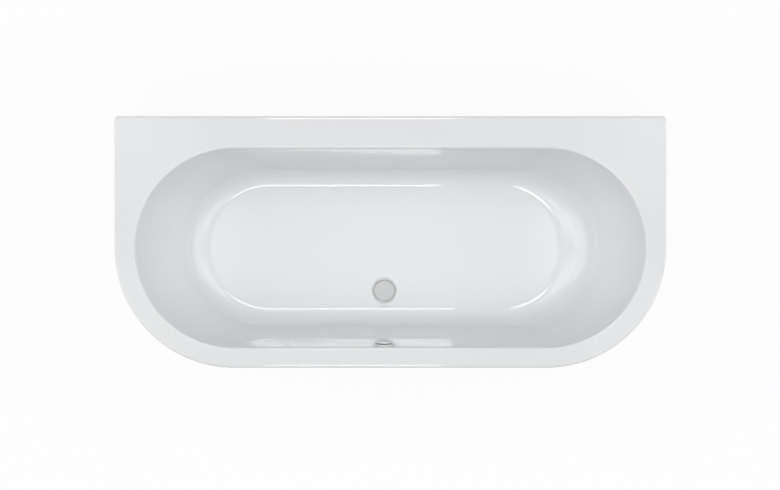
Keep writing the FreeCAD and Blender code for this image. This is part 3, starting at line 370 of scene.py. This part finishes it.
def dress_nodes():
    """Gives each solid the finish of its slot, or its own variant of that finish; the drain flange's
    variant is darkened as painted shade.
    """
    cross_grain = softwood("cross_batten_wood", (16, 1, 16))
    variants = {
        "left_rim_batten": cross_grain,
        "right_rim_batten": cross_grain,
        "drain_plug": satin_chrome("plug_chrome", 0.3, (0.43, 0.434, 0.438), (0.45, 0.454, 0.458)),
        # The flange's chrome is darker than the plug's as painted shade for the gap round the plug, not
        # as a different metal.
        "drain_flange": satin_chrome("seat_chrome_painted_shade", 1.0, (0.295, 0.298, 0.302), (0.315, 0.318, 0.322)),
    }
    for part in frame["record"]["subparts"]:
        obj = nodes[part["node"]]
        finish = variants.get(part["node"], finishes[part["material_slot"]])
        if not obj.material_slots:
            obj.data.materials.append(finish)
        for place in obj.material_slots:
            place.material = finish


# Mesh helpers
def mesh_object(name, points, faces, materials, picks=None):
    mesh = bpy.data.meshes.new(name)
    mesh.from_pydata(points, [], faces)
    for made in materials:
        mesh.materials.append(made)
    if picks:
        mesh.polygons.foreach_set("material_index", picks)
    mesh.update()
    obj = bpy.data.objects.new(name, mesh)
    bpy.context.scene.collection.objects.link(obj)
    return obj


def smooth(obj):
    """Shades an object smoothly, apart from its sharp edges."""
    obj.data.polygons.foreach_set("use_smooth", [True] * len(obj.data.polygons))
    obj.data.set_sharp_from_angle(angle=math.radians(sharp_angle))


def band(first, second, count):
    """Faces between two closed rings of points, given where each ring starts."""
    faces = []
    for step in range(count):
        after = (step + 1) % count
        faces.append((first + step, second + step, second + after, first + after))
    return faces


def around(middle, radius, share, z):
    """A point at a share of a turn round an upright axis."""
    angle = 2 * math.pi * share
    return (middle.x + radius * math.cos(angle), middle.y + radius * math.sin(angle), z)


def round_bar(middle, radius, low, high, steps):
    """Points and faces of a closed upright bar."""
    points = [around(middle, radius, step / steps, z) for z in (low, high) for step in range(steps)]
    faces = [tuple(face[::-1]) for face in band(0, steps, steps)]
    faces.append(tuple(range(steps - 1, -1, -1)))
    faces.append(tuple(range(steps, 2 * steps)))
    return points, faces


def block(low, high):
    """A closed cutter between two corners."""
    points = [(x, y, z) for z in (low[2], high[2]) for x in (low[0], high[0]) for y in (low[1], high[1])]
    faces = [(0, 1, 3, 2), (4, 6, 7, 5), (0, 2, 6, 4), (2, 3, 7, 6), (3, 1, 5, 7), (1, 0, 4, 5)]
    return mesh_object("cutter", points, faces, [])


def apply_modifiers(obj):
    shaped = obj.evaluated_get(bpy.context.evaluated_depsgraph_get())
    obj.data = bpy.data.meshes.new_from_object(shaped)
    obj.modifiers.clear()


def cut_out(obj, cutter):
    """Cuts the cutter's shape out of an object, and removes the cutter."""
    cut = obj.modifiers.new("cut", "BOOLEAN")
    cut.operation = "DIFFERENCE"
    cut.solver = "EXACT"
    cut.object = cutter
    apply_modifiers(obj)
    bpy.data.objects.remove(cutter)


def rounded(points, steps):
    """An open path of (x, y, radius) with an arc of that radius at each inner corner."""
    path = [Vector(points[0][:2])]
    for before, here, after in zip(points, points[1:], points[2:]):
        corner = Vector(here[:2])
        back = (Vector(before[:2]) - corner).normalized()
        on = (Vector(after[:2]) - corner).normalized()
        half_angle = back.angle(on) / 2
        reach = here[2] / math.tan(half_angle)
        centre = corner + (back + on).normalized() * here[2] / math.sin(half_angle)
        start = corner + back * reach - centre
        turn = start.angle_signed(corner + on * reach - centre)
        for step in range(steps + 1):
            path.append(centre + Matrix.Rotation(-turn * step / steps, 2) @ start)
    path.append(Vector(points[-1][:2]))
    return path


# Shell of the bath
def stations():
    """Places round the bath as (share along the straight, normal's angle, outline point, its normal)."""
    places = []

    def at_front(share, angle):
        normal = Vector((math.cos(angle), math.sin(angle)))
        centre = Vector(((2 * share - 1) * straight_half, basin_y))
        places.append((share, angle, centre + outline_radius * normal, normal))

    def at_rear(share, angle, point, normal):
        places.append((share, angle, Vector(point), Vector(normal)))

    reach = (floor_right - floor_left) / 2 - floor_radius
    widest = math.atan(reach / drain_from_front)
    for step in range(front_steps):
        seen = widest * (2 * step / front_steps - 1)
        at_front((1 + drain_from_front * math.tan(seen) / reach) / 2, -math.pi / 2)
    for step in range(quarter_steps):
        at_front(1.0, -math.pi / 2 * (1 - step / quarter_steps))
    quarter = []
    corner_y = half_depth - wall_corner_radius
    low_angle = math.atan2(corner_y - basin_y, half_length - straight_half)
    for step in range(side_steps):
        angle = low_angle * step / side_steps
        y = basin_y + (half_length - straight_half) * math.tan(angle)
        quarter.append((angle, (half_length, y), (1, 0)))
    high_angle = math.atan2(half_depth - basin_y, half_length - wall_corner_radius - straight_half)
    for step in range(corner_steps):
        share = step / corner_steps
        normal = Vector((math.cos(share * math.pi / 2), math.sin(share * math.pi / 2)))
        centre = Vector((half_length - wall_corner_radius, corner_y))
        angle = low_angle + (high_angle - low_angle) * share
        quarter.append((angle, centre + wall_corner_radius * normal, normal))
    for step in range(deck_steps):
        angle = high_angle + (math.pi / 2 - high_angle) * step / deck_steps
        x = straight_half + (half_depth - basin_y) / math.tan(angle)
        quarter.append((angle, (x, half_depth), (0, 1)))
    for angle, point, normal in quarter:
        at_rear(1.0, angle, point, normal)
    for step in range(rear_steps):
        x = straight_half * (1 - 2 * step / rear_steps)
        at_rear(1 - step / rear_steps, math.pi / 2, (x, half_depth), (0, 1))
    at_rear(0.0, math.pi / 2, (-straight_half, half_depth), (0, 1))
    for angle, point, normal in reversed(quarter):
        at_rear(0.0, math.pi - angle, (-point[0], point[1]), (-normal[0], normal[1]))
    for step in range(1, quarter_steps):
        at_front(0.0, math.pi + math.pi / 2 * step / quarter_steps)
    return places


def section_ring(places, height, skin, out=0.0):
    """The basin's outline at a height above its floor, on a skin outside it and moved out."""
    radius = floor_radius + wall_run(height + skin, side_fillet + skin, side_slope)
    left = floor_left - wall_run(height + skin, left_fillet + skin, end_slope) + radius
    right = floor_right + wall_run(height + skin, right_fillet + skin, end_slope) - radius
    ring = []
    for share, angle, _, _ in places:
        x = left + (right - left) * share + (radius + out) * math.cos(angle)
        y = basin_y + (radius + out) * math.sin(angle)
        ring.append((x, y, floor_z + height))
    return ring


def outline_ring(places, inset, z):
    """The rim's outline, moved in by an inset."""
    return [(*(point - normal * inset), z) for _, _, point, normal in places]


def drain_ring(places, radius, z):
    """A circle round the drain, with its points in line with those of the floor's edge."""
    ring = []
    for x, y, _ in section_ring(places, 0.0, 0.0):
        angle = math.atan2(y - drain.y, x - drain.x)
        ring.append((drain.x + radius * math.cos(angle), drain.y + radius * math.sin(angle), z))
    return ring


def roll_rings(places):
    """Rings round the rounded edge between the basin's wall and the flat rim."""
    edge = section_ring(places, basin_depth, 0.0)
    rings = []
    for step in range(round_steps + 2):
        ring = []
        for (x, y, _), (_, angle, _, _) in zip(edge, places):
            lean = math.atan(side_slope + abs(math.cos(angle)) * (end_slope - side_slope))
            out = rim_roll_radius * (1 - math.sin(lean)) / math.cos(lean)
            z = rim_z
            if step <= round_steps:
                turn = lean + (math.pi / 2 - lean) * step / round_steps
                out -= rim_roll_radius * math.cos(turn)
                z -= rim_roll_radius * (1 - math.sin(turn))
            else:
                out += support
            ring.append((x + out * math.cos(angle), y + out * math.sin(angle), z))
        rings.append(ring)
    return rings


def basin_heights():
    """Heights of the basin's rings: close together round the fillets, then even up the wall."""
    heights = [tallest_fillet * (step / fillet_steps) ** 2 for step in range(fillet_steps + 1)]
    top = basin_depth - 2 * rim_roll_radius
    for step in range(1, wall_steps + 1):
        heights.append(tallest_fillet + (top - tallest_fillet) * step / wall_steps)
    return heights


def upper_rings(places):
    """Rings of the side that shows, from the drain hole over the rim to the foot of the lip."""
    bevel = [
        (drain_hole_radius, recess_z, 0),
        (recess_floor_radius, recess_z, recess_foot_radius),
        (recess_radius, floor_z, recess_edge_radius),
        (recess_radius + 2 * support, floor_z, 0),
    ]
    rings = [drain_ring(places, radius, z) for radius, z in rounded(bevel, recess_steps)]
    rings.append(section_ring(places, 0.0, 0.0, -support))
    rings += [section_ring(places, height, 0.0) for height in basin_heights()]
    rings += roll_rings(places)
    lip = [
        (lip_edge_radius + support, rim_z, 0),
        (0.0, rim_z, lip_edge_radius),
        (0.0, lip_bottom_z, lip_foot_radius),
        (shell, lip_bottom_z, lip_foot_radius),
        (shell, lip_bottom_z + support, 0),
    ]
    rings += [outline_ring(places, inset, z) for inset, z in rounded(lip, round_steps)]
    return rings


def lower_rings(places):
    """Rings of the hidden side, from inside the lip down to the drain hole."""
    under = [
        (shell, under_rim_z - 2 * support, 0),
        (shell, under_rim_z, under_rim_radius),
        (2 * shell, under_rim_z, 0),
    ]
    rings = [outline_ring(places, inset, z) for inset, z in rounded(under, under_steps)]
    top = under_rim_z - floor_z
    rings.append(section_ring(places, top, shell, 2 * support))
    rings.append(section_ring(places, top - support / 2, shell, support / 2))
    rings.append(section_ring(places, top - 2 * support, shell))
    fillet_top = tallest_fillet + shell
    for step in range(wall_steps + 1):
        height = top - 3 * support - (top - 3 * support - fillet_top) * step / wall_steps
        rings.append(section_ring(places, height, shell))
    for step in range(fillet_steps - 1, -1, -1):
        height = (fillet_top + shell) * (step / fillet_steps) ** 2 - shell
        rings.append(section_ring(places, height, shell))
    rings.append(section_ring(places, -shell, shell, -support))
    boss_radius = recess_radius + shell
    boss = [
        (boss_radius + 2 * support, floor_z - shell, 0),
        (boss_radius, floor_z - shell, boss_edge_radius),
        (boss_radius, recess_z - shell, boss_edge_radius),
        (drain_hole_radius, recess_z - shell, 0),
    ]
    rings += [drain_ring(places, radius, z) for radius, z in rounded(boss, under_steps)]
    return rings


def overflow_frame():
    """The overflow's own frame: Z out of the wall into the basin, X towards the bath's left."""
    normal = Vector((0.0, 1.0, side_slope)).normalized()
    y = basin_y - floor_radius - wall_run(basin_depth - overflow_drop, side_fillet, side_slope)
    across = Vector((-1.0, 0.0, 0.0))
    turned = Matrix((across, normal.cross(across), normal)).transposed().to_4x4()
    return Matrix.Translation((drain.x, y, rim_z - overflow_drop)) @ turned


def make_tub():
    places = stations()
    count = len(places)
    upper = upper_rings(places)
    rings = upper + lower_rings(places)
    points = [point for ring in rings for point in ring]
    faces = []
    picks = []
    for index in range(len(rings)):
        following = (index + 1) % len(rings)
        faces += band(index * count, following * count, count)
        picks += [0 if index < len(upper) - 1 else 1] * count
    obj = mesh_object("tub", points, faces, [finishes["white_acrylic"], laminate()], picks)
    axis = Vector((0.0, 0.0))
    points, faces = round_bar(axis, overflow_hole_radius, -4 * shell, 2 * shell, hole_steps)
    hole = mesh_object("overflow_hole", points, faces, [])
    hole.matrix_world = overflow_frame()
    bpy.context.view_layer.update()
    cut_out(obj, hole)
    smooth(obj)
    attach(obj, "bath")
    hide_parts("tub_shell")


# Front panel
def panel_path(inset, bend):
    """The panel's plan from one wall end round the front to the other, with its returns."""
    side_x = half_length - inset
    end_y = half_depth - panel_wall_gap - (inset - panel_inset)
    inner_x = half_length - panel_inset - panel_return
    right = rounded([(inner_x, end_y, 0), (side_x, end_y, bend), (side_x, basin_y, 0)], corner_steps)
    radius = outline_radius - inset
    quarter = []
    for step in range(1, quarter_steps + 1):
        angle = math.pi / 2 * step / quarter_steps
        x = straight_half + radius * math.cos(angle)
        quarter.append(Vector((x, basin_y - radius * math.sin(angle))))
    half = right + quarter
    return half + [Vector((-point.x, point.y)) for point in reversed(half)]


def make_panel():
    low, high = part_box("front_panel")
    outer = panel_path(panel_inset, panel_bend)
    inner = panel_path(panel_inset + panel_thickness, panel_bend - panel_thickness)
    count = len(outer)
    plan = outer + inner[::-1]
    points = [(*place, low.z) for place in plan] + [(*place, high.z) for place in plan]
    total = len(plan)
    faces = [tuple(face[::-1]) for face in band(0, total, total)]
    for step in range(count - 1):
        across = (step, step + 1, total - 2 - step, total - 1 - step)
        faces.append(across)
        faces.append(tuple(total + corner for corner in across[::-1]))
    obj = mesh_object("curved_front_panel", points, faces, [finishes["panel_acrylic"]])
    notch = block(
        (-half_length, half_depth - shell - panel_lip_gap, lip_bottom_z - panel_lip_gap),
        (half_length, half_depth + shell, rim_z),
    )
    cut_out(obj, notch)
    edge = obj.modifiers.new("eased", "BEVEL")
    edge.width = panel_ease
    edge.segments = ease_steps
    edge.angle_limit = math.radians(ease_angle)
    apply_modifiers(obj)
    smooth(obj)
    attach(obj, "bath")
    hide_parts("front_panel")


# Feet
def make_thread(foot):
    """A foot's threaded rod: a round core with a ridge that winds up it."""
    name = foot + "_foot_rod"
    low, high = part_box(name)
    middle = (low + high) / 2
    crest = (high.x - low.x) / 2
    root = crest - thread_depth
    points, faces = round_bar(middle, root, low.z, high.z, thread_steps)
    rise = thread_pitch / thread_steps
    count = int((high.z - low.z - thread_pitch) / rise)
    start = len(points)
    for step in range(count + 1):
        share = step / thread_steps
        z = low.z + step * rise
        points.append(around(middle, root, share, z))
        points.append(around(middle, crest, share, z + thread_pitch / 2))
        points.append(around(middle, root, share, z + thread_pitch))
    for step in range(count):
        here = start + 3 * step
        faces.append((here, here + 3, here + 4, here + 1))
        faces.append((here + 1, here + 4, here + 5, here + 2))
    last = start + 3 * count
    faces.append((start, start + 1, start + 2))
    faces.append((last + 2, last + 1, last))
    obj = mesh_object(foot + "_threaded_rod", points, faces, [finishes["zinc_steel"]])
    smooth(obj)
    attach(obj, foot + "_foot")
    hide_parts(name)


# Stage, light and camera
def white_where_seen(tree, plain, share):
    """Mixes plain white into a shader for camera, mirror and see-through rays."""
    path = tree.nodes.new("ShaderNodeLightPath")
    seen = combine(tree, "MAXIMUM", path.outputs["Is Camera Ray"], path.outputs["Is Glossy Ray"])
    seen = combine(tree, "MAXIMUM", seen, path.outputs["Is Transmission Ray"])
    scaled = tree.nodes.new("ShaderNodeMath")
    scaled.operation = "MULTIPLY"
    scaled.inputs[1].default_value = share
    tree.links.new(seen, scaled.inputs[0])
    kind = "ShaderNodeEmission" if plain.type == "BSDF_DIFFUSE" else "ShaderNodeBackground"
    glow = tree.nodes.new(kind)
    mixed = tree.nodes.new("ShaderNodeMixShader")
    tree.links.new(scaled.outputs["Value"], mixed.inputs["Fac"])
    tree.links.new(plain.outputs[0], mixed.inputs[1])
    tree.links.new(glow.outputs[0], mixed.inputs[2])
    glow.inputs["Color"].default_value = (1.0, 1.0, 1.0, 1.0)
    glow.inputs["Strength"].default_value = 1.0
    return mixed.outputs["Shader"]


def make_floor():
    made = bpy.data.materials.new("studio_floor")
    made.use_nodes = True
    tree = made.node_tree
    tree.nodes.remove(tree.nodes["Principled BSDF"])
    plain = tree.nodes.new("ShaderNodeBsdfDiffuse")
    plain.inputs["Color"].default_value = (floor_tone, floor_tone, floor_tone, 1.0)
    output = tree.nodes["Material Output"]
    tree.links.new(white_where_seen(tree, plain, floor_white), output.inputs["Surface"])
    signs = ((-1, -1), (1, -1), (1, 1), (-1, 1))
    corners = [(x * floor_reach, y * floor_reach, -floor_drop) for x, y in signs]
    obj = mesh_object("studio_floor", corners, [(0, 1, 2, 3)], [made])


def make_world():
    world = bpy.data.worlds.new("studio")
    bpy.context.scene.world = world
    world.use_nodes = True
    tree = world.node_tree
    plain = tree.nodes["Background"]
    plain.inputs["Color"].default_value = (1.0, 1.0, 1.0, 1.0)
    plain.inputs["Strength"].default_value = world_strength
    output = tree.nodes["World Output"]
    tree.links.new(white_where_seen(tree, plain, 1.0), output.inputs["Surface"])


def add_lamp(name, width, length, radiance):
    lamp = bpy.data.lights.new(name, "AREA")
    lamp.shape = "RECTANGLE"
    lamp.size = width
    lamp.size_y = length
    lamp.energy = radiance * math.pi * width * length
    obj = bpy.data.objects.new(name, lamp)
    bpy.context.scene.collection.objects.link(obj)
    return obj


def softbox(name, low, high, radiance, turn=0.0):
    """A lamp that faces straight down, between two corners in plan, and then turned by degrees."""
    width = high[0] - low[0]
    length = high[1] - low[1]
    obj = add_lamp(name, width, length, radiance)
    obj.location = (low[0] + width / 2, low[1] + length / 2, lamp_height)
    obj.rotation_euler.z = math.radians(turn)
    return obj


def soft_edged(name, low, high, radiance, fade):
    """A softbox whose light falls off over a width round its edge, in layers of growing size."""
    for layer in range(edge_layers):
        grow = fade * ((layer + 0.5) / edge_layers - 0.5)
        start = (low[0] - grow, low[1] - grow)
        end = (high[0] + grow, high[1] + grow)
        obj = softbox(name + "_" + str(layer), start, end, radiance / edge_layers)
        obj.location.z += layer * layer_gap


def side_screen(name, x, radiance):
    """A large dim screen beside the bath that faces it."""
    obj = add_lamp(name, screen_width, screen_height, radiance)
    obj.location = (x, 0.0, screen_middle)
    towards = Vector((0.0, 0.0, rim_z)) - obj.location
    obj.rotation_euler = towards.to_track_quat("-Z", "Y").to_euler()


def make_lights():
    softbox("front_box", (-0.47, -1.35), (0.20, -0.55), 7.8)
    softbox("rear_box", (-0.47, 0.55), (0.25, 1.15), 8.4)
    softbox("front_strip", (-0.550, -1.947), (0.200, -1.847), strip_radiance, 2.3)
    softbox("rear_strip", (-0.530, 1.866), (0.243, 1.966), strip_radiance, -3.2)
    soft_edged("left_rear_bank", (-bank_far, bank_start), (-bank_near, bank_end), 2.10, bank_fade)
    soft_edged("left_front_bank", (-bank_far, -bank_end), (-bank_near, -bank_start), 2.02, bank_fade)
    soft_edged("right_rear_bank", (bank_near, bank_start), (bank_far, bank_end), 2.02, bank_fade)
    soft_edged("right_front_bank", (bank_near, -bank_end), (bank_far, -bank_start), 1.89, bank_fade)
    soft_edged("left_glow", (-0.80, glow_front), (-0.62, glow_rear), 1.75, glow_fade)
    soft_edged("right_glow", (0.60, glow_front), (0.78, glow_rear), 2.15, glow_fade)
    side_screen("left_screen", -screen_x, 1.42)
    side_screen("right_screen", screen_x, 1.46)


def make_camera():
    camera = bpy.data.cameras.new("camera")
    camera.lens = camera_lens
    camera.sensor_width = camera_sensor
    view_width = camera_height * camera_sensor / camera_lens
    camera.shift_y = (picture_middle.y - camera_y) / view_width
    obj = bpy.data.objects.new("camera", camera)
    obj.location = (picture_middle.x, camera_y, rim_z + camera_height)
    bpy.context.scene.collection.objects.link(obj)
    bpy.context.scene.camera = obj


dress_nodes()
make_tub()
make_panel()
for foot in feet:
    make_thread(foot)
make_floor()
make_world()
make_lights()
make_camera()
bpy.context.scene.view_settings.view_transform = "Standard"
